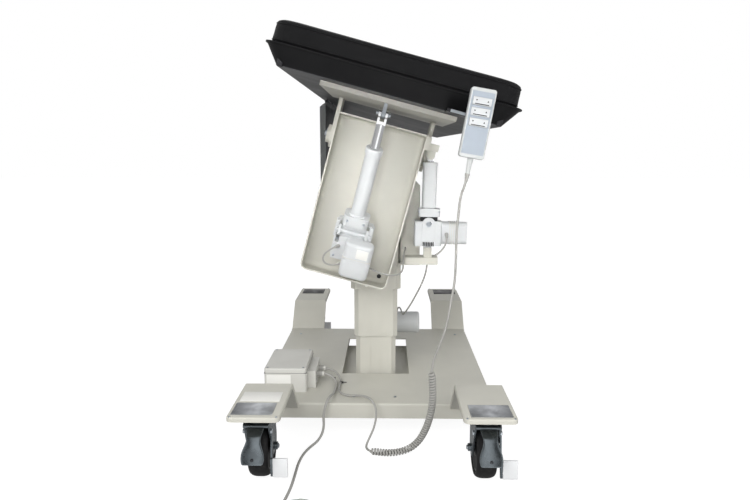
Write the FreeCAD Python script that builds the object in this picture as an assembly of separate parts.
"""Radiography table with a telescoping column, a lateral roll and a long-axis pitch.

Units are millimetres. X runs across the table, Y along it towards the far end, Z up.
Everything is built about the middle of the base, and moved at the end so that the origin lies
on the floor under the middle of the whole table's box. What rolls is built level, in a frame
where x runs across the table top and z is ROLL_Z plus the height above the roll axis.
"""
import FreeCAD, Part
import os
from math import asin, degrees, hypot, pi, tan

V = FreeCAD.Vector

# ---- base ----
BASE_W = 690.0
DECK_L = 762.0
DECK_TOP = 104.0
DECK_FLANGE = 44.0
SHEET = 4.0
DECK_BEND = 6.0
LEG_W = 128.0
LEG_T = 12.0
PLATFORM_EDGE = 4.0
LEG_RISE = 94.0
LEG_RUN = 93.0
PLATFORM_L = 221.0
PLATFORM_CORNER = 14.0
LEG_ROOT = 14.0
CUTOUT_W = 215.0
CUTOUT_Y = (-136.0, 248.0)
RAIL_W = 30.0
RAIL_H = 38.0
FOOT_T = 8.0
FOOT_MARGIN = 14.0

# ---- casters ----
WHEEL_D = 150.0
WHEEL_W = 50.0
TYRE_T = 16.0
HUB_BORE_GAP = 0.05
AXLE_D = 12.0
CASTER_TRAIL = 30.0
CASTER_FROM_END = 81.0
FORK_GAP = 3.0
FORK_T = 4.0
FORK_LEG_W = 44.0
SWIVEL_D = 72.0
SWIVEL_H = 18.0
CASTER_PLATE = 100.0
PEDAL_W = 56.0
PEDAL_REACH = 50.0
TAB_X = 35.0
TAB_Y = -40.0
TAB_W = 38.0
TAB_Z = (28.0, 73.0)
PEDAL_T = 3.5
PEDAL_BARREL = 8.0
HINGE_GAP = 0.2

# ---- column ----
COLUMN_Y = -57.0
LOWER_W = 128.0
MIDDLE_W = 138.0
UPPER_W = 158.0
LOWER_WALL = 4.0
STAGE_GAP = 1.0
UPPER_WALL = 5.0
GLIDE_GAP = 0.3
GLIDE_H = 60.0
STAGE_CHAMFER = 14.0
GROOVE_W = 35.0
GROOVE_DEEP = 2.0
LOWER_TOP = 420.0
MIDDLE_BOTTOM = 225.0
MIDDLE_L = 340.0
UPPER_BOTTOM = 382.5
UPPER_TOP = 850.0
CAP_T = 5.0
SCREW_D = 9.0
SCREW_SPREAD = 29.0
SCREW_UP = 11.0

# ---- column head and roll bearing ----
ROLL_Z = 800.0
ROLL_REST = 15.0
HEAD_T = 8.0
HEAD_W = 274.0
HEAD_TOP_W = 226.0
HEAD_BOTTOM = 462.0
HEAD_SHOULDER = 710.0
HEAD_CHAMFER = 24.0
HEAD_TOP = 850.0
HEAD_SLOT_X = (71.0, 78.0)
HEAD_SLOT_TOP = 615.0
HEAD_SLOT_DEEP = 26.0
SHELF_X = (91.0, 189.0)
SHELF_Z = 487.0
SHELF_REACH = 54.0
SHELF_LIP = 14.0
SHAFT_D = 40.0
HOUSING_D = 84.0
RUNNING = 0.05
FIT = 0.1

# ---- tilt tray ----
TRAY_W = 262.0
TRAY_TOP = 95.0
TRAY_BOTTOM = -370.0
TRAY_Y = (-271.0, -203.0)
TRAY_FOLD = 18.0
TRAY_BEND = 13.0

# ---- pitch axis, arms and mounting plate ----
PITCH_Y = -116.0
PITCH_N = 28.0
ARM_T = 12.0
ARM_INSIDE = 137.0
ARM_NEAR = 34.0
ARM_R = 40.0
PIVOT_D = 20.0
EAR_R = 26.0
DISC_D = 55.0
DISC_T = 12.0
PLATE_W = 357.0
PLATE_T = 12.0
PLATE_Y = (-461.0, -55.0)

# ---- table top ----
TABLE_L = 2134.0
TABLE_NEAR = -588.0
SHELL_W = 560.0
SHELL_BOTTOM = 152.0
SHELL_H = 49.0
RIM_FLARE = 35.0
RIM_W = SHELL_W + 2 * RIM_FLARE
LIP_T = 3.0
LIP_OUT = 1.5
SHELL_WALL = 4.0
PLAN_R = 45.0
PLAN_EASE = 18.0
PAD_INSET = 5.0
PAD_W = RIM_W - 2 * PAD_INSET
PAD_H = 60.0
PAD_EDGE = 16.0
SOFT_GAP = 0.3

# ---- linear actuators ----
PIN_D = 12.0
LUG_T = 9.0
ACT_TUBE = 42.0
PITCH_TUBE = (62.0, 252.0)
PITCH_ROD_D = 26.0
ROLL_TUBE = (130.0, 258.0)
ROLL_ROD_D = 22.0
TUBE_CAP = 13.0
PITCH_ACT_X = -4.0
EAR_OUT = 43.0
EAR_T = 7.0
PLATE_UP = 22.0
PITCH_PIN_TOP = (-431.0, 113.5)
PITCH_PIN_BOTTOM = (-300.0, -225.0)
ROLL_PIN_TOP = (158.5, 43.0)
ROLL_PIN_BOTTOM = (159.0, 513.0)
ROLL_ACT_Y = -175.0
OPEN_PIVOT_GAP = 4.2
LIFT_Y = 139.0
LIFT_TUBE_TOP = 520.0
LIFT_GEAR_TOP = 250.0
LIFT_BRACKET_Z = 785.0
LIFT_ROD_D = 32.0
LIFT_BORE_L = 368.0

# ---- curtain ----
CURTAIN_Y = (459.0, 1430.0)
CURTAIN_DROP = 420.0
CURTAIN_T = 3.0
RAIL_D = 8.0
RAIL_AT = (-SHELL_W / 2 + 30.0, SHELL_BOTTOM - 10.0)
HEM_D = 13.0
HANGERS = 5

# ---- handset ----
HAND_W = 58.0
HAND_L = 158.0
HAND_T = 24.0
HAND_CORNER = 6.0
HAND_LEAN = 10.0
HAND_AT = V(240.0, -622.0, 879.0)
ROCKER_W = 42.0
ROCKER_H = 17.0
ROCKER_STEP = 23.5
ROCKER_GAP = 0.5
ROCKER_AXIS = 2.0
STRIP_X = (138.0, 238.0)
STRIP_T = 3.0
TONGUE_H = 5.0
HOOK_DROP = 12.5
HOOK_LIP = 7.0
RELIEF_L = 38.0

# ---- control box ----
BOX_X = (-BASE_W / 2 + 15.5, -BASE_W / 2 + 141.5)
BOX_Y = (-298.5, -111.0)
BOX_H = 73.0
LID_H = 14.0
PORT_X = 23.5
PORT_Y = (-262.0, -128.0)
PORT_H = 52.0
PLUG_D = 15.0
PLUG_L = 22.0
POWER_PLUG_Y = -215.0
HANDSET_PLUG_Y = -166.0
PLUG_Z = 132.0

# ---- cords ----
HANDSET_CORD = 6.0
CURLY = 20.0
POWER_CORD = 7.0
MOTOR_CORD = 5.0
COIL_AT = (-165.0, -790.0)
COIL_R = 40.0
COIL_BAND = 24.0
COIL_H = 22.0

CORNERS = {"near_left": (-1, -1), "near_right": (1, -1), "far_left": (-1, 1), "far_right": (1, 1)}
nodes = {}
cord_names = []


# ---- helpers ----
def mid(centre, size):
    return (centre - size / 2, centre + size / 2)


def box(x, y, z):
    return Part.makeBox(x[1] - x[0], y[1] - y[0], z[1] - z[0], V(x[0], y[0], z[0]))


def rod(start, end, radius):
    line = end - start
    return Part.makeCylinder(radius, line.Length, start, line)


def prism(points, along):
    face = Part.Face(Part.makePolygon(points + [points[0]]))
    return face.extrude(along)


def filleted(shape, radius, picks):
    edges = [edge for edge in shape.Edges if picks(edge)]
    return shape.makeFillet(radius, edges)


def along(edge, axis):
    """True for a straight edge that runs along the axis."""
    ends = [vertex.Point for vertex in edge.Vertexes]
    if len(ends) != 2:
        return False
    line = (ends[1] - ends[0]).normalize()
    return abs(abs(line.dot(axis)) - 1) < 1e-6


def mirrored(shape):
    return shape.mirror(V(0, 0, 0), V(1, 0, 0))


def rounded_plan(width, length, y0, z, radius):
    """A rectangle with round corners in the XY plane, from y0 to y0 + length."""
    plate = box(mid(0, width), (y0, y0 + length), (z, z + 1))
    plate = filleted(plate, radius, lambda edge: along(edge, V(0, 0, 1)))
    low = [face for face in plate.Faces if face.normalAt(0, 0).z < -0.99]
    return low[0].OuterWire


def rolled(shape):
    """Turns a shape from the level frame about the roll axis to its place at rest."""
    turned = shape.copy()
    turned.rotate(V(0, 0, ROLL_Z), V(0, 1, 0), ROLL_REST)
    return turned


def level(x, y, n):
    """A point in the level frame, n above the roll axis."""
    return V(x, y, ROLL_Z + n)


def one(*shapes):
    whole = shapes[0]
    for shape in shapes[1:]:
        whole = whole.fuse(shape)
    return whole.removeSplitter()


def group(*shapes):
    return Part.makeCompound(list(shapes))


def tube_along(points, diameter, label):
    """Straight runs joined by tangent arcs, each arc as large as its two runs allow."""
    points = [V(*point) for point in points]
    edges = []
    radii = []
    begin = points[0]
    for before, corner, after in zip(points, points[1:], points[2:]):
        back = (before - corner)
        ahead = (after - corner)
        run = min(back.Length, ahead.Length)
        back.normalize()
        ahead.normalize()
        cut = 0.45 * run
        turn = pi - back.getAngle(ahead)
        first = corner + back * cut
        last = corner + ahead * cut
        radius = cut / tan(turn / 2)
        half = corner + (back + ahead).normalize() * (hypot(radius, cut) - radius)
        edges.append(Part.LineSegment(begin, first).toShape())
        edges.append(Part.Arc(first, half, last).toShape())
        radii.append(radius)
        begin = last
    edges.append(Part.LineSegment(begin, points[-1]).toShape())
    path = Part.Wire(edges)
    ring = Part.Wire(Part.makeCircle(diameter / 2, points[0], points[1] - points[0]))
    solid = path.makePipeShell([ring], True, False)
    expected = path.Length * pi * diameter ** 2 / 4
    ratio = solid.Volume / expected
    print(f"{label}: length {path.Length:.0f}, tightest radius {min(radii):.1f}, volume ratio {ratio:.4f}")
    cord_names.append(label)
    return solid


# ---- base ----
def deck_pan(legs):
    low = DECK_TOP - DECK_FLANGE
    outer = box(mid(0, BASE_W), mid(0, DECK_L), (low, DECK_TOP))
    outer = filleted(outer, DECK_BEND, lambda edge: edge.BoundBox.ZMax > low + 1)
    inner = box(mid(0, BASE_W - 2 * SHEET), mid(0, DECK_L - 2 * SHEET), (low - 1, DECK_TOP - SHEET))
    cutout = box(mid(0, CUTOUT_W), CUTOUT_Y, (low, DECK_TOP + 1))
    return outer.cut(inner).cut(cutout).cut(legs)


def caster_leg(side, end):
    """A bent strip: root in the deck's edge, riser, then the caster platform."""
    edge = DECK_L / 2
    rise = LEG_RISE
    slant = LEG_T * (hypot(LEG_RUN, rise) - LEG_RUN) / rise
    outer_end = edge + LEG_RUN + PLATFORM_L
    top = [(edge - LEG_ROOT, 0), (edge, 0), (edge + LEG_RUN, rise), (outer_end, rise)]
    under = [(outer_end, rise - LEG_T), (edge + LEG_RUN + slant, rise - LEG_T), (edge + slant, -LEG_T),
             (edge - LEG_ROOT, -LEG_T)]
    x0 = BASE_W / 2 - LEG_W
    outline = [V(x0, y, DECK_TOP + z) for y, z in top + under]
    leg = prism(outline, V(LEG_W, 0, 0))
    corner = outer_end - 1
    leg = filleted(leg, PLATFORM_CORNER, lambda e: along(e, V(0, 0, 1)) and e.BoundBox.YMin > corner)
    flat = edge + LEG_RUN + 1
    leg = filleted(leg, PLATFORM_EDGE,
                   lambda e: e.BoundBox.ZMin > DECK_TOP + rise - 1 and e.BoundBox.YMax > flat)
    if side < 0:
        leg = mirrored(leg)
    if end < 0:
        leg = leg.mirror(V(0, 0, 0), V(0, 1, 0))
    return leg


def base():
    legs = group(*[caster_leg(side, end) for side in (-1, 1) for end in (-1, 1)])
    nodes["caster_legs"] = group(legs, *caster_plates())
    nodes["deck_pan"] = deck_pan(legs)
    under = DECK_TOP - SHEET
    inside = CUTOUT_W / 2 + SHEET
    rail = box((inside, inside + RAIL_W), mid(0, DECK_L - 2 * SHEET), (under - RAIL_H, under))
    foot_y = (CUTOUT_Y[0] - FOOT_MARGIN, CUTOUT_Y[1] + FOOT_MARGIN)
    foot_z = (under - RAIL_H, under - RAIL_H + FOOT_T)
    foot = box(mid(0, 2 * inside), foot_y, foot_z)
    nodes["base_rails"] = group(rail, mirrored(rail), foot)
    return foot_z[1]


# ---- casters ----
def caster(name, side, end):
    """Built with its swivel axis at the origin, its wheel trailing towards +Y and its pedal towards -Y."""
    top = DECK_TOP + LEG_RISE - LEG_T
    axle_y = CASTER_TRAIL
    axle_z = WHEEL_D / 2
    half = WHEEL_W / 2 + FORK_GAP
    outside = half + FORK_T
    crown_z = top - FORK_T - SWIVEL_H
    head = Part.makeCylinder(SWIVEL_D / 2, SWIVEL_H, V(0, 0, crown_z))
    crown_y = (pedal_hinge()[0] + PEDAL_BARREL / 2 + HINGE_GAP, CASTER_TRAIL + FORK_LEG_W / 2)
    crown = box(mid(0, 2 * outside), crown_y, (crown_z - FORK_T, crown_z))
    sides = [(crown_y[0], crown_z), (crown_y[1], crown_z), (axle_y + FORK_LEG_W / 2, axle_z - 14),
             (axle_y - FORK_LEG_W / 2, axle_z - 14)]
    leg = prism([V(half, y, z) for y, z in sides], V(FORK_T, 0, 0))
    lever = [(-24, crown_z - 30), (-8, crown_z - 30), (TAB_Y + 6, TAB_Z[0]), (TAB_Y, TAB_Z[0])]
    arm_plate = prism([V(outside, y, z) for y, z in lever], V(PEDAL_T, 0, 0))
    tab = box((outside, TAB_X + TAB_W), (TAB_Y, TAB_Y + PEDAL_T), TAB_Z)
    fork = one(head, crown, leg, mirrored(leg), arm_plate, tab)
    bore = rod(V(-outside - 5, axle_y, axle_z), V(outside + 5, axle_y, axle_z), AXLE_D / 2 + FIT)
    fork = fork.cut(bore)
    axle = rod(V(-outside - 8, axle_y, axle_z), V(outside + 8, axle_y, axle_z), AXLE_D / 2)
    nut = rod(V(outside, axle_y, axle_z), V(outside + 7, axle_y, axle_z), 10)
    axle = one(axle, nut, mirrored(nut))
    hub_w = WHEEL_W - 6
    hub = rod(V(-hub_w / 2, axle_y, axle_z), V(hub_w / 2, axle_y, axle_z), WHEEL_D / 2 - TYRE_T)
    hub = hub.cut(rod(V(-40, axle_y, axle_z), V(40, axle_y, axle_z), AXLE_D / 2 + HUB_BORE_GAP))
    tyre = rod(V(-WHEEL_W / 2, axle_y, axle_z), V(WHEEL_W / 2, axle_y, axle_z), WHEEL_D / 2)
    tyre = filleted(tyre, 8, lambda edge: True)
    tyre = tyre.cut(rod(V(-40, axle_y, axle_z), V(40, axle_y, axle_z), WHEEL_D / 2 - TYRE_T))
    hinge_y, hinge_z = pedal_hinge()
    reach = hinge_y - PEDAL_REACH
    bend = [(hinge_y, hinge_z), (hinge_y - 14, hinge_z - 6), (reach + 8, hinge_z - 30),
            (reach, hinge_z - 46), (reach - 2, hinge_z - 70)]
    back = [(y + PEDAL_T, z - 1) for y, z in reversed(bend)]
    pedal = prism([V(-PEDAL_W / 2, y, z) for y, z in bend + back], V(PEDAL_W, 0, 0))
    barrel = rod(V(-PEDAL_W / 2, hinge_y, hinge_z), V(PEDAL_W / 2, hinge_y, hinge_z), PEDAL_BARREL / 2)
    shapes = {"fork": group(fork, axle), "wheel": group(hub, tyre), "pedal": one(pedal, barrel)}
    for piece, shape in shapes.items():
        shape.translate(swivel_axis(side, end))
        nodes[f"caster_{piece}_{name}"] = shape


def pedal_hinge():
    """Where a brake pedal turns, as y and z in the caster's own frame."""
    crown_z = DECK_TOP + LEG_RISE - LEG_T - FORK_T - SWIVEL_H
    return -SWIVEL_D / 2 - 8, crown_z - 4


def swivel_axis(side, end):
    return V(side * (BASE_W - LEG_W) / 2, end * (DECK_L / 2 + LEG_RUN + PLATFORM_L - CASTER_FROM_END), 0)


def caster_plates():
    top = DECK_TOP + LEG_RISE - LEG_T
    plate = box(mid(0, CASTER_PLATE), mid(0, CASTER_PLATE), (top - FORK_T, top))
    return [plate.translated(swivel_axis(side, end)) for side, end in CORNERS.values()]


def casters():
    for name, (side, end) in CORNERS.items():
        caster(name, side, end)


# ---- column ----
def stage(width, wall, bottom, top):
    """A square tube with chamfered corners and a shallow groove down its front."""
    def prismatic(size, chamfer, z0, z1):
        block = box(mid(0, size), mid(COLUMN_Y, size), (z0, z1))
        edges = [edge for edge in block.Edges if along(edge, V(0, 0, 1))]
        return block.makeChamfer(chamfer, edges)
    outer = prismatic(width, STAGE_CHAMFER, bottom, top)
    inner = prismatic(width - 2 * wall, STAGE_CHAMFER - wall * 0.4, bottom - 1, top + 1)
    front = COLUMN_Y - width / 2
    groove = box(mid(0, GROOVE_W), (front - 1, front + GROOVE_DEEP), (bottom - 1, top + 1))
    return outer.cut(inner).cut(groove)


def face_screws(width, bottom):
    """The two screws that hold a stage's front glide pad."""
    front = COLUMN_Y - width / 2
    pair = []
    for x in (-SCREW_SPREAD, SCREW_SPREAD):
        pair.append(rod(V(x, front - 2, bottom + SCREW_UP), V(x, front, bottom + SCREW_UP), SCREW_D / 2))
    return group(*pair)


def column(foot_top):
    middle_wall = (MIDDLE_W - LOWER_W) / 2 - STAGE_GAP
    nodes["column_lower"] = stage(LOWER_W, LOWER_WALL, foot_top, LOWER_TOP)
    middle = stage(MIDDLE_W, middle_wall, MIDDLE_BOTTOM, MIDDLE_BOTTOM + MIDDLE_L)
    nodes["column_middle"] = group(middle, face_screws(MIDDLE_W, MIDDLE_BOTTOM))
    upper = stage(UPPER_W, UPPER_WALL, UPPER_BOTTOM, UPPER_TOP)
    housing = rod(V(0, -300, ROLL_Z), V(0, COLUMN_Y, ROLL_Z), HOUSING_D / 2)
    cap = box(mid(0, UPPER_W), mid(COLUMN_Y, UPPER_W), (UPPER_TOP, UPPER_TOP + CAP_T))
    slot = box(HEAD_SLOT_X, (COLUMN_Y - UPPER_W / 2 - SHEET, COLUMN_Y - UPPER_W / 2 + HEAD_SLOT_DEEP),
               (HEAD_BOTTOM + SHEET, HEAD_SLOT_TOP))
    nodes["column_upper"] = group(upper.cut(housing).cut(slot), cap)
    inner = UPPER_W / 2 - UPPER_WALL
    thick = inner - MIDDLE_W / 2 - GLIDE_GAP
    pad_w = MIDDLE_W - 2 * STAGE_CHAMFER
    pads = []
    for turn in range(4):
        pad = box(mid(0, pad_w), (COLUMN_Y + inner - thick, COLUMN_Y + inner),
                  (UPPER_BOTTOM, UPPER_BOTTOM + GLIDE_H))
        pad.rotate(V(0, COLUMN_Y, 0), V(0, 0, 1), 90 * turn)
        pads.append(pad)
    groove_filler = box(mid(0, GROOVE_W), (COLUMN_Y - UPPER_W / 2, COLUMN_Y - inner + thick), (0, 900))
    pads = [pad.cut(groove_filler) for pad in pads]
    nodes["glide_pads"] = group(*pads, face_screws(UPPER_W, UPPER_BOTTOM))


def head():
    front = COLUMN_Y - UPPER_W / 2
    y0 = front - HEAD_T
    half = HEAD_W / 2
    top_half = HEAD_TOP_W / 2
    right = [(half, HEAD_BOTTOM), (half, HEAD_SHOULDER), (top_half, HEAD_SHOULDER + HEAD_CHAMFER),
             (top_half, HEAD_TOP - 20), (top_half - 20, HEAD_TOP)]
    left = [(-x, z) for x, z in reversed(right)]
    plate = prism([V(x, y0, z) for x, z in right + left], V(0, HEAD_T, 0))
    housing_hole = rod(V(0, -300, ROLL_Z), V(0, 0, ROLL_Z), HOUSING_D / 2)
    slot = box(HEAD_SLOT_X, (y0 - SHEET, front + SHEET), (HEAD_BOTTOM - SHEET, HEAD_SLOT_TOP))
    nodes["head_plate"] = plate.cut(slot).cut(housing_hole).removeSplitter()
    shelf_front = y0 - SHELF_REACH
    shelf = box(SHELF_X, (shelf_front, y0), (SHELF_Z, SHELF_Z + HEAD_T))
    lip = box(SHELF_X, (shelf_front, shelf_front + SHEET), (SHELF_Z - SHELF_LIP, SHELF_Z))
    x, z = ROLL_PIN_BOTTOM
    ears = []
    for y in (ROLL_ACT_Y - 13, ROLL_ACT_Y + 9):
        ear = box(mid(x, 24), (y, y + 4), (SHELF_Z + HEAD_T, z + 11))
        ears.append(ear)
    pin_hole = rod(V(x, -260, z), V(x, -100, z), PIN_D / 2 + RUNNING)
    pin = rod(V(x, ROLL_ACT_Y - 19, z), V(x, ROLL_ACT_Y + 19, z), PIN_D / 2)
    nodes["actuator_shelf"] = group(one(shelf, lip, *ears).cut(pin_hole), pin)
    shaft_hole = rod(V(0, -300, ROLL_Z), V(0, 50, ROLL_Z), SHAFT_D / 2 + RUNNING)
    face = TRAY_Y[1] + 20
    housing = rod(V(0, face, ROLL_Z), V(0, COLUMN_Y, ROLL_Z), HOUSING_D / 2)
    nodes["roll_bearing"] = housing.cut(shaft_hole)
    back = COLUMN_Y + UPPER_W / 2
    bracket = box(mid(0, 70), (back, LIFT_Y + 28), (LIFT_BRACKET_Z, LIFT_BRACKET_Z + 14))
    web = prism([V(-4, back, LIFT_BRACKET_Z), V(-4, LIFT_Y - 20, LIFT_BRACKET_Z), V(-4, back, LIFT_BRACKET_Z - 90)],
                V(8, 0, 0))
    rod_bottom = LIFT_TUBE_TOP - 115
    lift_rod = Part.makeCylinder(LIFT_ROD_D / 2, LIFT_BRACKET_Z - rod_bottom, V(0, LIFT_Y, rod_bottom))
    nodes["lift_rod"] = group(lift_rod, one(bracket, web))


def lift_actuator(foot_top):
    gear_z = (foot_top + 26, LIFT_GEAR_TOP)
    gearbox = filleted(box(mid(0, 78), mid(LIFT_Y, 76), gear_z), 10, lambda edge: along(edge, V(0, 0, 1)))
    tube = Part.makeCylinder(25, LIFT_TUBE_TOP - gear_z[1], V(0, LIFT_Y, gear_z[1]))
    motor = rod(V(39, LIFT_Y, 200), V(152, LIFT_Y, 200), 38)
    motor = filleted(motor, 8, lambda edge: edge.BoundBox.XMin > 150)
    foot = box(mid(0, 34), mid(LIFT_Y, 60), (foot_top, gear_z[0]))
    bore_bottom = LIFT_TUBE_TOP - LIFT_BORE_L
    bore = Part.makeCylinder(LIFT_ROD_D / 2 + RUNNING, LIFT_BORE_L + 10, V(0, LIFT_Y, bore_bottom))
    nodes["lift_actuator"] = one(gearbox, tube, motor, foot).cut(bore)


# ---- rolling tray ----
def tray():
    half = TRAY_W / 2
    outer = box(mid(0, TRAY_W), TRAY_Y, (ROLL_Z + TRAY_BOTTOM, ROLL_Z + TRAY_TOP))
    outer = filleted(outer, TRAY_FOLD, lambda edge: along(edge, V(0, 1, 0)) and edge.BoundBox.ZMax < ROLL_Z)
    inner = box(mid(0, TRAY_W - 2 * SHEET), (TRAY_Y[0] - 1, TRAY_Y[1] - SHEET),
                (ROLL_Z + TRAY_BOTTOM + SHEET, ROLL_Z + TRAY_TOP - SHEET))
    inner = filleted(inner, TRAY_FOLD - SHEET,
                     lambda edge: along(edge, V(0, 1, 0)) and edge.BoundBox.ZMax < ROLL_Z)
    back = TRAY_Y[1] - SHEET
    outer = filleted(outer, TRAY_BEND + SHEET, lambda edge: edge.BoundBox.YMin > TRAY_Y[1] - 1)
    inner = filleted(inner, TRAY_BEND, lambda edge: edge.BoundBox.YMin > back - 1)
    pan = outer.cut(inner)
    flat_y = TRAY_Y[1] - TRAY_BEND - 2 * SHEET
    ear_z = mid(ROLL_Z + PITCH_N, 2 * EAR_R)
    ear_plate = box((half - SHEET, half), (flat_y, PITCH_Y), ear_z)
    ear_round = rod(level(half - SHEET, PITCH_Y, PITCH_N), level(half, PITCH_Y, PITCH_N), EAR_R)
    boss = rod(level(half, PITCH_Y, PITCH_N), level(half + 5, PITCH_Y, PITCH_N), EAR_R - 6)
    ear = one(ear_plate, ear_round, boss)
    hole = rod(level(-200, PITCH_Y, PITCH_N), level(200, PITCH_Y, PITCH_N), PIVOT_D / 2 + RUNNING)
    nodes["tilt_tray"] = rolled(one(pan, ear, mirrored(ear)).cut(hole))
    hub = rod(level(0, TRAY_Y[1], 0), level(0, TRAY_Y[1] + 18, 0), 45)
    shaft = rod(level(0, TRAY_Y[1], 0), level(0, COLUMN_Y - 8, 0), SHAFT_D / 2)
    nodes["roll_shaft"] = rolled(one(hub, shaft))


def pitch_bracket():
    """A base plate on the tray's back panel and two ears that carry the pitch actuator's pin."""
    y, n = PITCH_PIN_BOTTOM
    x = PITCH_ACT_X
    panel = TRAY_Y[1] - SHEET
    plate = box(mid(x, 2 * EAR_OUT + 30), (panel - 5, panel), (ROLL_Z + n - 34, ROLL_Z + n + PLATE_UP))
    outline = [(panel - 5, n - 8), (panel - 5, n + PLATE_UP), (y + 10, n + 20), (y - 9, n + 18), (y - 9, n - 10),
               (y + 16, n - 14)]
    ears = [prism([level(x0, py, pn) for py, pn in outline], V(EAR_T, 0, 0))
            for x0 in (x - EAR_OUT, x + EAR_OUT - EAR_T)]
    hole = rod(level(-90, y, n), level(90, y, n), PIN_D / 2 + RUNNING)
    bracket = one(plate, *ears).cut(hole)
    pin = rod(level(x - EAR_OUT - 5, y, n), level(x + EAR_OUT + 5, y, n), PIN_D / 2)
    return rolled(group(bracket, pin))


def roll_bracket():
    """A block on the tray's right flange, a bar across it and the ears of the roll actuator's top pin."""
    half = TRAY_W / 2
    x, n = ROLL_PIN_TOP
    y = ROLL_ACT_Y
    block = box((half, half + 13), (TRAY_Y[0], y - 13), (ROLL_Z + n + 12, ROLL_Z + TRAY_TOP - 4))
    low_bar = box((half, x + 13), (TRAY_Y[0] + 20, y + 12), (ROLL_Z + n + 14, ROLL_Z + n + 24))
    high_bar = box((half, x + 13), (TRAY_Y[0] + 20, y - 6), (ROLL_Z + n + 23, ROLL_Z + n + 34))
    ears = []
    for y0 in (y - 14, y + 10):
        ear = box(mid(x, 24), (y0, y0 + 4), (ROLL_Z + n, ROLL_Z + n + 15))
        round_end = rod(V(x, y0, ROLL_Z + n), V(x, y0 + 4, ROLL_Z + n), 12)
        ears.append(one(ear, round_end))
    pin = rod(V(x, y - 17, ROLL_Z + n), V(x, y + 17, ROLL_Z + n), 5)
    bolt_head = rod(V(x, y - 19, ROLL_Z + n), V(x, y - 14, ROLL_Z + n), 8)
    return rolled(one(block, low_bar, high_bar, *ears, pin, bolt_head))


# ---- actuators ----
def unit(start, end):
    return (end - start).normalize()


def pitch_actuator():
    """Gearbox on its cross pin, motor in front of it to the right, collar, tube and rod up the axis."""
    bottom = level(PITCH_ACT_X, *PITCH_PIN_BOTTOM)
    top = level(PITCH_ACT_X, *PITCH_PIN_TOP)
    axis = unit(bottom, top)

    def block(x, depth, t, radius):
        shape = box(x, depth, t)
        shape = filleted(shape, radius, lambda edge: along(edge, V(0, 0, 1)))
        return shape

    def placed(shape):
        shape.rotate(V(0, 0, 0), V(1, 0, 0), degrees(asin(-axis.y)))
        shape.translate(bottom)
        return rolled(shape)

    reach = (top - bottom).Length
    body = filleted(box((-51, 54), (2, 28), (-94, 32)), 10, lambda edge: along(edge, V(0, 1, 0)))
    front = box((-48, 50), (-16, 4), (-88, -12))
    motor = filleted(block((-12, 70), (-50, -6), (-124, -9), 16), 9, lambda edge: True)
    collar = block(mid(0, 72), (-26, 26), (32, PITCH_TUBE[0]), 14)
    notches = [box((x0 - 1.5, x0 + EAR_T + 1.5), (-40, 60), (-34, 30)) for x0 in (-EAR_OUT, EAR_OUT - EAR_T)]
    bore = rod(V(0, 0, PITCH_TUBE[0] - 4), V(0, 0, PITCH_TUBE[1] + 2 * TUBE_CAP), PITCH_ROD_D / 2 + RUNNING)
    pin_hole = rod(V(-80, 0, 0), V(80, 0, 0), PIN_D / 2 + FIT)
    gearbox = one(body, front).cut(notches[0]).cut(notches[1]).cut(pin_hole)
    nodes["pitch_gearbox"] = placed(one(gearbox, motor, collar).cut(bore))
    barrel = rod(V(0, 0, PITCH_TUBE[0]), V(0, 0, PITCH_TUBE[1]), ACT_TUBE / 2)
    cap = rod(V(0, 0, PITCH_TUBE[1]), V(0, 0, PITCH_TUBE[1] + TUBE_CAP), ACT_TUBE / 2 + 1.5)
    nodes["pitch_tube"] = placed(one(barrel, cap).cut(bore))
    piston = rod(V(0, 0, 140), V(0, 0, reach - 26), PITCH_ROD_D / 2)
    crotch = reach - 18
    cheek_in = LUG_T / 2 + 1.5
    root = box(mid(0, 2 * cheek_in + 12), mid(0, 22), (crotch - 9, crotch))
    cheeks = []
    for x0 in (-cheek_in - 6, cheek_in):
        strap = box((x0, x0 + 6), mid(0, 22), (crotch - 2, reach))
        eye = rod(V(x0, 0, reach), V(x0 + 6, 0, reach), PIN_D / 2 + OPEN_PIVOT_GAP + 4)
        cheeks.append(one(strap, eye))
    hole = rod(V(-20, 0, reach), V(20, 0, reach), PIN_D / 2 + OPEN_PIVOT_GAP)
    nodes["pitch_rod"] = placed(one(piston, root, *cheeks).cut(hole))
    print(f"pitch actuator axis {rolled_direction(axis)}, length {reach:.1f}")


def rolled_direction(direction):
    turn = FreeCAD.Rotation(V(0, 1, 0), ROLL_REST)
    return turn.multVec(direction)


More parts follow.
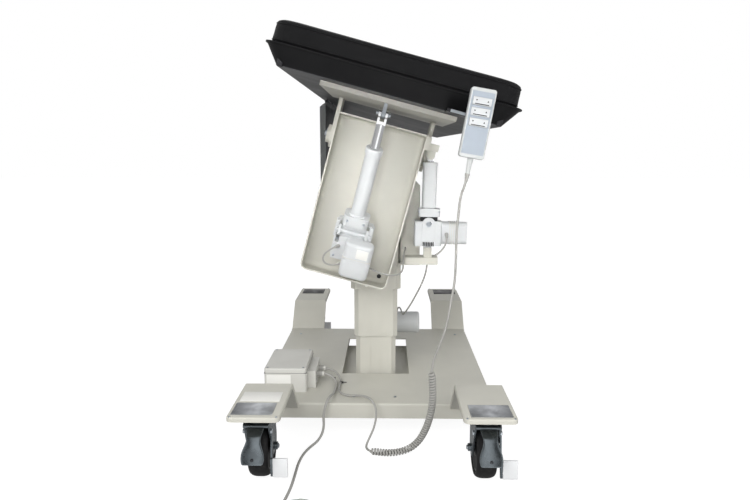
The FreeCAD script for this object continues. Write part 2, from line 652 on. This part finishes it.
def roll_actuator():
    bottom = V(ROLL_PIN_BOTTOM[0], ROLL_ACT_Y, ROLL_PIN_BOTTOM[1])
    turn = FreeCAD.Rotation(V(0, 1, 0), ROLL_REST)
    offset = turn.multVec(V(ROLL_PIN_TOP[0], 0, ROLL_PIN_TOP[1]))
    top = V(offset.x, ROLL_ACT_Y, ROLL_Z + offset.z)
    axis = unit(bottom, top)
    lean = degrees(asin(axis.x))

    def placed(shape):
        shape.rotate(V(0, 0, 0), V(0, 1, 0), lean)
        shape.translate(bottom)
        return shape

    eye = rod(V(0, -8.5, 0), V(0, 8.5, 0), 11)
    block = box(mid(0, 20), mid(0, 17), (0, 18))
    gearbox = filleted(box((-42, 40), mid(0, 50), (17, 92)), 6, lambda edge: along(edge, V(0, 0, 1)))
    neck = box((-24, 26), mid(0, 38), (91, 107))
    collar = box((-31, 33), mid(0, 44), (106, ROLL_TUBE[0]))
    collar = filleted(collar, 6, lambda edge: along(edge, V(0, 0, 1)))
    bore = rod(V(0, 0, 100), V(0, 0, 400), ROLL_ROD_D / 2 + RUNNING)
    hole = rod(V(0, -40, 0), V(0, 40, 0), PIN_D / 2 + RUNNING)
    motor = filleted(box((40, 116), mid(0, 50), (24, 90)), 14, lambda edge: along(edge, V(1, 0, 0)))
    nodes["roll_gearbox"] = placed(group(one(eye, block, gearbox, neck, collar).cut(bore).cut(hole), motor))
    barrel = filleted(box(mid(0, ACT_TUBE), mid(0, ACT_TUBE - 3), ROLL_TUBE), 8,
                      lambda edge: along(edge, V(0, 0, 1)))
    cap = filleted(box(mid(0, ACT_TUBE + 2), mid(0, ACT_TUBE - 1), (ROLL_TUBE[1], ROLL_TUBE[1] + TUBE_CAP - 4)), 8,
                   lambda edge: along(edge, V(0, 0, 1)))
    nodes["roll_tube"] = placed(one(barrel, cap).cut(bore))
    reach = (top - bottom).Length
    piston = rod(V(0, 0, 115), V(0, 0, reach - 16), ROLL_ROD_D / 2)
    tongue = rod(V(0, -8.5, reach), V(0, 8.5, reach), 13)
    tongue_hole = rod(V(0, -20, reach), V(0, 20, reach), 5 + OPEN_PIVOT_GAP)
    neck = box(mid(0, 14), mid(0, 14), (reach - 20, reach - 6))
    nodes["roll_rod"] = placed(one(piston, neck, tongue).cut(tongue_hole))
    print(f"roll actuator axis {axis}, length {reach:.1f}")


# ---- pitching table ----
def arm(side):
    top = SHELL_BOTTOM - PLATE_T
    near = PITCH_Y - ARM_NEAR
    far = PITCH_Y + ARM_NEAR
    upper = box((ARM_INSIDE, ARM_INSIDE + ARM_T), (near, far), (ROLL_Z + PITCH_N, ROLL_Z + top))
    lower = rod(level(ARM_INSIDE, PITCH_Y, PITCH_N), level(ARM_INSIDE + ARM_T, PITCH_Y, PITCH_N), ARM_R)
    trim = box((ARM_INSIDE - 1, ARM_INSIDE + ARM_T + 1), (near, far), (ROLL_Z - 60, ROLL_Z + PITCH_N))
    hole = rod(level(0, PITCH_Y, PITCH_N), level(200, PITCH_Y, PITCH_N), PIVOT_D / 2 + FIT)
    shape = one(upper, lower.common(trim)).cut(hole)
    if side < 0:
        shape = mirrored(shape)
    return rolled(shape)


def table():
    top = SHELL_BOTTOM - PLATE_T
    nodes["pivot_arms"] = group(arm(-1), arm(1))
    outside = ARM_INSIDE + ARM_T
    pin = rod(level(TRAY_W / 2 - 12, PITCH_Y, PITCH_N), level(outside, PITCH_Y, PITCH_N), PIVOT_D / 2)
    disc = rod(level(outside, PITCH_Y, PITCH_N), level(outside + DISC_T, PITCH_Y, PITCH_N), DISC_D / 2)
    pivot = rolled(one(pin, disc))
    nodes["pivot_pins"] = group(pivot, rolled(one(mirrored(pin), mirrored(disc))))
    plate = box(mid(0, PLATE_W), PLATE_Y, (ROLL_Z + top, ROLL_Z + SHELL_BOTTOM))
    nodes["mounting_plate"] = rolled(plate)
    y, n = PITCH_PIN_TOP
    x0 = PITCH_ACT_X - LUG_T / 2
    web = box((x0, x0 + LUG_T), mid(y, 24), (ROLL_Z + n, ROLL_Z + top))
    round_end = rod(level(x0, y, n), level(x0 + LUG_T, y, n), 12)
    pin = rod(level(PITCH_ACT_X - 19, y, n), level(PITCH_ACT_X + 19, y, n), PIN_D / 2)
    nodes["actuator_lug"] = rolled(one(web, round_end, pin))
    table_top()


def table_top():
    low = ROLL_Z + SHELL_BOTTOM
    rim = low + SHELL_H
    inset = RIM_FLARE
    bottom = rounded_plan(SHELL_W, TABLE_L - 2 * inset, TABLE_NEAR + inset, low, PLAN_R - inset + PLAN_EASE)
    upper = rounded_plan(RIM_W - 2 * LIP_OUT, TABLE_L - 2 * LIP_OUT, TABLE_NEAR + LIP_OUT, rim, PLAN_R)
    shell = Part.makeLoft([bottom, upper], True, True)
    lip_plan = rounded_plan(RIM_W, TABLE_L, TABLE_NEAR, rim - LIP_T, PLAN_R + LIP_OUT)
    lip = Part.Face(lip_plan).extrude(V(0, 0, LIP_T))
    wall_in = SHELL_WALL + inset
    inside_low = rounded_plan(RIM_W - 2 * wall_in, TABLE_L - 2 * wall_in, TABLE_NEAR + wall_in,
                              low + SHELL_WALL, PLAN_R - wall_in + PLAN_EASE)
    rim_in = SHELL_WALL + LIP_OUT
    inside_top = rounded_plan(RIM_W - 2 * rim_in, TABLE_L - 2 * rim_in, TABLE_NEAR + rim_in,
                              rim + 1, PLAN_R - SHELL_WALL)
    hollow = Part.makeLoft([inside_low, inside_top], True, True)
    nodes["table_shell"] = rolled(one(shell, lip).cut(hollow))
    core_in = wall_in + SOFT_GAP
    core = box(mid(0, RIM_W - 2 * core_in), (TABLE_NEAR + core_in, TABLE_NEAR + TABLE_L - core_in),
               (low + SHELL_WALL, rim))
    core = filleted(core, PLAN_R - wall_in + PLAN_EASE, lambda edge: along(edge, V(0, 0, 1)))
    nodes["table_core"] = rolled(core)
    side_in = PAD_INSET
    pad = box(mid(0, PAD_W), (TABLE_NEAR + side_in, TABLE_NEAR + TABLE_L - side_in),
              (rim + SOFT_GAP, rim + SOFT_GAP + PAD_H))
    pad = filleted(pad, PLAN_R, lambda edge: along(edge, V(0, 0, 1)))
    pad = filleted(pad, PAD_EDGE, lambda edge: edge.BoundBox.ZMin > rim + PAD_H - 1)
    nodes["table_pad"] = rolled(pad)
    strip_y = TABLE_NEAR - 12
    flat = box(STRIP_X, (strip_y, TABLE_NEAR + 60), (low - STRIP_T, low))
    tongue = box(STRIP_X, (strip_y - STRIP_T, strip_y), (low - STRIP_T, low + TONGUE_H))
    nodes["handset_bracket"] = rolled(one(flat, tongue))


def curtain():
    """A hanging sheet whose hem slides on a rod below the shell's left edge."""
    x, n = RAIL_AT
    y0, y1 = CURTAIN_Y
    rail = rod(level(x, y0 - 12, n), level(x, y1 + 12, n), RAIL_D / 2)
    step = (y1 - y0 - 60) / (HANGERS - 1)
    stations = [y0 + 30 + step * count for count in range(HANGERS)]
    hangers = [box(mid(x, 5), mid(y, 8), (ROLL_Z + n, ROLL_Z + SHELL_BOTTOM)) for y in stations]
    nodes["curtain_rail"] = rolled(one(rail, *hangers))
    turn = FreeCAD.Rotation(V(0, 1, 0), ROLL_REST)
    axis = turn.multVec(V(x, 0, n)) + V(0, 0, ROLL_Z)
    hem = rod(V(axis.x, y0, axis.z), V(axis.x, y1, axis.z), HEM_D / 2)
    sheet = box(mid(axis.x, CURTAIN_T), (y0, y1), (axis.z - CURTAIN_DROP, axis.z))
    bore = rod(V(axis.x, y0 - 1, axis.z), V(axis.x, y1 + 1, axis.z), RAIL_D / 2 + SOFT_GAP)
    notches = [box(mid(axis.x, HEM_D + 2), mid(y, 16), mid(axis.z, HEM_D + 3)) for y in stations]
    cloth = one(hem, sheet).cut(bore)
    for notch in notches:
        cloth = cloth.cut(notch)
    nodes["shield_curtain"] = cloth
    print(f"curtain axis {axis}")


# ---- handset ----
def leaned(shape):
    """Takes a shape from the handset's own upright frame to its place on the table."""
    shape.rotate(V(0, 0, 0), V(0, 1, 0), HAND_LEAN)
    shape.translate(HAND_AT)
    return shape


def handset():
    front = -HAND_T / 2
    body = box(mid(0, HAND_W), mid(0, HAND_T), mid(0, HAND_L))
    body = filleted(body, HAND_CORNER, lambda edge: along(edge, V(0, 1, 0)))
    body = filleted(body, 3, lambda edge: edge.BoundBox.YMax < front + 1)
    rows = [ROCKER_STEP * 2 + 2, ROCKER_STEP + 2, 2]
    for name, z in zip(("height", "pitch", "roll"), rows):
        pocket_z = mid(z, ROCKER_H + 2 * ROCKER_GAP)
        pocket = box(mid(0, ROCKER_W + 2 * ROCKER_GAP), (front - 5, front + 5), pocket_z)
        body = body.cut(pocket)
        rocker = box(mid(0, ROCKER_W), (front - 2.5, front + 2), mid(z, ROCKER_H))
        rocker = filleted(rocker, 1.5, lambda edge: along(edge, V(0, 1, 0)))
        ends = [V(0, front + ROCKER_AXIS, z + dz) for dz in (-7, 7)]
        stem = rod(*ends, 5 - ROCKER_AXIS)
        nodes[f"rocker_{name}"] = leaned(one(rocker, stem))
    back = HAND_T / 2
    hook_z = 42 - HOOK_DROP
    hook_top = box(mid(-14, 24), (back, back + 16), (hook_z - 4, hook_z))
    hook_lip = box(mid(-14, 24), (back + 13, back + 16), (hook_z - HOOK_LIP, hook_z))
    relief = Part.makeCone(7, 4.5, RELIEF_L, V(0, 0, -HAND_L / 2), V(0, 0, -1))
    nodes["handset_body"] = leaned(group(one(body, hook_top, hook_lip), relief))


# ---- control box ----
def control_box():
    z0 = DECK_TOP
    shell = filleted(box(BOX_X, BOX_Y, (z0, z0 + BOX_H - LID_H)), 8, lambda edge: along(edge, V(0, 0, 1)))
    port = box((BOX_X[1], BOX_X[1] + PORT_X), PORT_Y, (z0, z0 + PORT_H))
    lid = box(BOX_X, BOX_Y, (z0 + BOX_H - LID_H, z0 + BOX_H))
    lid = filleted(lid, 8, lambda edge: along(edge, V(0, 0, 1)))
    nodes["control_lid"] = filleted(lid, 4, lambda edge: edge.BoundBox.ZMin > z0 + BOX_H - 1)
    side = BOX_X[1] + PORT_X
    plugs = [rod(V(side, y, PLUG_Z), V(side + PLUG_L, y, PLUG_Z), PLUG_D / 2)
             for y in (POWER_PLUG_Y, HANDSET_PLUG_Y)]
    nodes["control_box"] = group(one(shell, port), *plugs)
    return side + PLUG_L


# ---- cords ----
def cords(plug_end):
    relief = leaned(Part.Vertex(V(0, 0, -HAND_L / 2 - RELIEF_L))).Point
    below = leaned(Part.Vertex(V(0, 0, -HAND_L / 2 - RELIEF_L - 24))).Point
    upper = [tuple(relief), tuple(below), (206, -617, 716), (203, -613, 678), (199, -607, 622), (200, -602, 560),
             (199, -597, 505), (191, -591, 455), (185, -583, 406), (175, -572, 360), (160, -561, 316),
             (151, -553, 284), (150, -551, 262)]
    nodes["handset_cord_upper"] = tube_along(upper, HANDSET_CORD, "handset_cord_upper")
    curly = [(150, -551, 262), (153, -545, 222), (155, -534, 176), (150, -520, 128), (139, -504, 83),
             (122, -491, 44), (97, -484, 19), (66, -489, 11), (28, -493, 10.8), (-9, -481, 10.8)]
    nodes["handset_cord_curly"] = tube_along(curly, CURLY, "handset_cord_curly")
    lower = [(-9, -481, 10.8), (-20, -462, 6), (-21, -442, 9), (-12, -430, 24), (0, -420, 48), (7, -411, 77),
             (5, -404, 103), (-7, -390, 121), (-28, -366, 121), (-50, -343, 113), (-76, -336, 109), (-98, -322, 110),
             (-107, -296, 109), (-108, -262, 108.5), (-106, -228, 109), (-110, -200, 113), (-122, -178, 122),
             (-140, HANDSET_PLUG_Y - 2, 130), (plug_end, HANDSET_PLUG_Y, PLUG_Z)]
    nodes["handset_cord_lower"] = tube_along(lower, HANDSET_CORD, "handset_cord_lower")
    x, y = COIL_AT
    power = [(plug_end, POWER_PLUG_Y, PLUG_Z), (-143, -216, 130), (-127, -222, 120), (-119, -236, 111),
             (-118, -262, 108.8), (-119, -300, 109), (-120, -332, 113), (-125, -360, 120), (-132, -390, 119),
             (-139, -404, 100), (-143, -407, 75), (-141, -409, 50), (-146, -416, 26), (-160, -428, 9),
             (-176, -448, 4.5), (-190, -488, 4.2), (-197, -540, 4), (-197, -600, 4.1), (-198, -660, 4),
             (-204, -716, 4.2), (x - COIL_R, y + 30, 4)]
    nodes["power_cord"] = tube_along(power, POWER_CORD, "power_cord")
    ring = Part.makeCylinder(COIL_R + COIL_BAND / 2, COIL_H, V(x, y, 0.4))
    hole = Part.makeCylinder(COIL_R - COIL_BAND / 2, COIL_H + 2, V(x, y, 0))
    nodes["power_coil"] = ring.cut(hole)
    cord_names.append("power_coil")
    rear = y - hypot(COIL_R, COIL_BAND) + 10
    relief = Part.makeCone(5, 8, 26, V(x + COIL_R, rear, 14), V(0, -1, 0))
    grip = box(mid(x + COIL_R, 30), (rear - 66, rear - 26), (1, 27))
    grip = filleted(grip, 5, lambda edge: along(edge, V(0, 1, 0)))
    blades = [box(mid(x + COIL_R + dx, 1.6), (rear - 84, rear - 66), (14, 20)) for dx in (-6.5, 6.5)]
    earth = rod(V(x + COIL_R, rear - 66, 8), V(x + COIL_R, rear - 86, 8), 2.4)
    nodes["power_plug"] = one(relief, grip, *blades, earth).cut(nodes["power_coil"])
    cord_names.append("power_plug")
    motor_cords()


def motor_cords():
    pitch_loop = [(-105, -300, 547), (-112, -312, 545), (-126, -318, 539), (-141, -317, 528), (-150, -311, 512),
                  (-145, -304, 497), (-129, -297, 490), (-108, -291, 490), (-88, -288, 494)]
    nodes["pitch_cable_loop"] = tube_along(pitch_loop, MOTOR_CORD, "pitch_cable_loop")
    plate_face = COLUMN_Y - UPPER_W / 2 - HEAD_T
    pitch_lead = [(-19, -274, 478), (-6, -278, 472), (12, -284, 465), (36, -289, 460), (60, -285, 457),
                  (77, -262, 460), (84, -234, 470), (84, -206, 487), (87, -184, 507), (92, -164, 517),
                  (92, plate_face, 517)]
    nodes["pitch_cable_lead"] = tube_along(pitch_lead, MOTOR_CORD, "pitch_cable_lead")
    roll_loop = [(214, -201, 566), (214, -211, 558), (212, -215, 542), (203, -213, 524), (190, -208, 510),
                 (182, -198, 503)]
    nodes["roll_cable_loop"] = tube_along(roll_loop, MOTOR_CORD, "roll_cable_loop")
    roll_lead = [(160, -160, 484), (160, -156, 462), (154, -148, 428), (141, -136, 392), (127, -118, 358),
                 (112, -92, 322), (98, -58, 290), (90, -16, 268), (87, 30, 262), (84, 76, 266), (78, 112, 262),
                 (74, 134, 250), (72, 139, 239)]
    nodes["roll_cable_lead"] = tube_along(roll_lead, MOTOR_CORD, "roll_cable_lead")


def build():
    foot_top = base()
    casters()
    column(foot_top)
    head()
    lift_actuator(foot_top)
    tray()
    nodes["pitch_bracket"] = pitch_bracket()
    nodes["roll_bracket"] = roll_bracket()
    pitch_actuator()
    roll_actuator()
    table()
    curtain()
    handset()
    cords(control_box())


def move_to_origin():
    """Puts the origin on the floor under the middle of the box of all but the free cords."""
    whole = FreeCAD.BoundBox()
    for name, shape in nodes.items():
        if name not in cord_names:
            whole.add(shape.optimalBoundingBox(False))
    shift = V(-whole.Center.x, -whole.Center.y, -whole.ZMin)
    for shape in nodes.values():
        shape.translate(shift)
    return shift


build()
SHIFT = move_to_origin()
print(f"shift {SHIFT}, {len(nodes)} nodes")
os.makedirs("parts", exist_ok=True)
for node, solid in nodes.items():
    solid.exportStep(f"parts/{node}.step")
